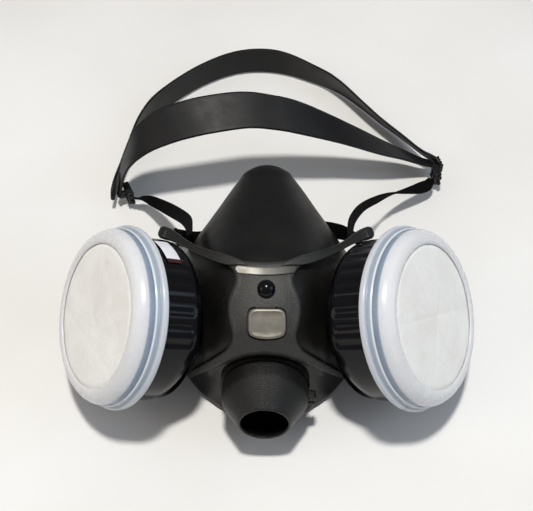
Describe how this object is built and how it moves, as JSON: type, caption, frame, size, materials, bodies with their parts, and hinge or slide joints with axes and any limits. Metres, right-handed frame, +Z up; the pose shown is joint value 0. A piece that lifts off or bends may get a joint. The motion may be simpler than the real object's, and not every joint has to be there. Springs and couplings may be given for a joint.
{
  "type": "half-face respirator",
  "caption": "Reusable half-face respirator lying face up, with bayonet cartridges, push-on prefilter rings, chin exhalation valve and a rubber head harness.",
  "frame": {"origin": "middle of the footprint, on the table the respirator lies on", "axes": "+Z up from the table, +Y from the wearer's chin towards the nose and the trailing head straps, +X to the right seen from the front"},
  "size_m": [0.2112, 0.2881, 0.0926],
  "materials": {
    "face_rubber": "satin moulded rubber",
    "yoke_plastic": "fine grained",
    "cover_plastic": "spark textured",
    "hard_black": "moulded",
    "gloss_black": "glossy",
    "flap_rubber": "thin soft rubber",
    "band_rubber": "satin moulded rubber",
    "elastic": "woven elastic",
    "cap_translucent": "milky translucent",
    "filter_fibre": "wrinkled fibre",
    "label_white": "plain label",
    "badge_silver": "satin",
    "charcoal": "granular activated carbon"
  },
  "bodies": {
    "mask": {"facepiece": "face_rubber", "yoke": "yoke_plastic", "yoke_button": "gloss_black", "badge": "badge_silver", "title_strip": "badge_silver", "connector_left": "hard_black", "connector_right": "hard_black", "port_ring_left": "hard_black", "port_ring_right": "hard_black", "exhalation_valve_seat": "hard_black", "neck_strap": "elastic"},
    "cartridge_left": {"cartridge_body_left": "gloss_black", "gasket_left": "flap_rubber", "sorbent_bed_left": "charcoal", "grille_left": "hard_black", "label_left": "label_white"},
    "cartridge_right": {"cartridge_body_right": "gloss_black", "gasket_right": "flap_rubber", "sorbent_bed_right": "charcoal", "grille_right": "hard_black"},
    "cap_left": {"filter_cap_left": "cap_translucent", "prefilter_left": "filter_fibre"},
    "cap_right": {"filter_cap_right": "cap_translucent", "prefilter_right": "filter_fibre"},
    "inlet_valve_left": {"inhale_flap_left": "flap_rubber"},
    "inlet_valve_right": {"inhale_flap_right": "flap_rubber"},
    "outlet_valve": {"exhale_flap": "flap_rubber"},
    "outlet_cover": {"valve_cover": "cover_plastic"},
    "harness": {"front_band": "band_rubber", "strap_left": "elastic", "strap_right": "elastic", "buckle_left": "hard_black", "buckle_right": "hard_black"},
    "back_loop": {"rear_band": "band_rubber"}
  },
  "joints": [
    {"name": "cartridge_turn_left", "type": "hinge", "parent": "mask", "child": "cartridge_left", "pos_m": [-0.0691, -0.09588, 0.05118], "axis": [-0.7771, -0.3051, 0.5504], "range_deg": [0, 45]},
    {"name": "cartridge_turn_right", "type": "hinge", "parent": "mask", "child": "cartridge_right", "pos_m": [0.0691, -0.09588, 0.05118], "axis": [0.7771, -0.3051, 0.5504], "range_deg": [0, 45]},
    {"name": "cap_pull_left", "type": "slide", "parent": "cartridge_left", "child": "cap_left", "axis": [-0.7771, -0.3051, 0.5504], "range_m": [0, 0.025]},
    {"name": "cap_pull_right", "type": "slide", "parent": "cartridge_right", "child": "cap_right", "axis": [0.7771, -0.3051, 0.5504], "range_m": [0, 0.025]},
    {"name": "inhale_lift_left", "type": "slide", "parent": "mask", "child": "inlet_valve_left", "axis": [0.7771, 0.3051, -0.5504], "range_m": [0, 0.0015], "stiffness_N_per_m": 60},
    {"name": "inhale_lift_right", "type": "slide", "parent": "mask", "child": "inlet_valve_right", "axis": [-0.7771, 0.3051, -0.5504], "range_m": [0, 0.0015], "stiffness_N_per_m": 60},
    {"name": "exhale_lift", "type": "slide", "parent": "mask", "child": "outlet_valve", "axis": [0, -0.9945, 0.1045], "range_m": [0, 0.002], "stiffness_N_per_m": 60},
    {"name": "valve_cover_pull", "type": "slide", "parent": "mask", "child": "outlet_cover", "axis": [0, -0.9945, 0.1045], "range_m": [0, 0.015]},
    {"name": "harness_swing", "type": "hinge", "parent": "mask", "child": "harness", "pos_m": [0, -0.0574, 0.0662], "axis": [1, 0, 0], "range_deg": [0, 78]},
    {"name": "rear_band_pivot", "type": "hinge", "parent": "harness", "child": "back_loop", "pos_m": [0.0045, 0.0331, 0.0107], "axis": [0.9919, 0.1271, 0], "range_deg": [0, 32]}
  ],
  "couplings": [
    {"joint": "inhale_lift_right", "follows": "inhale_lift_left", "ratio": 1}
  ]
}
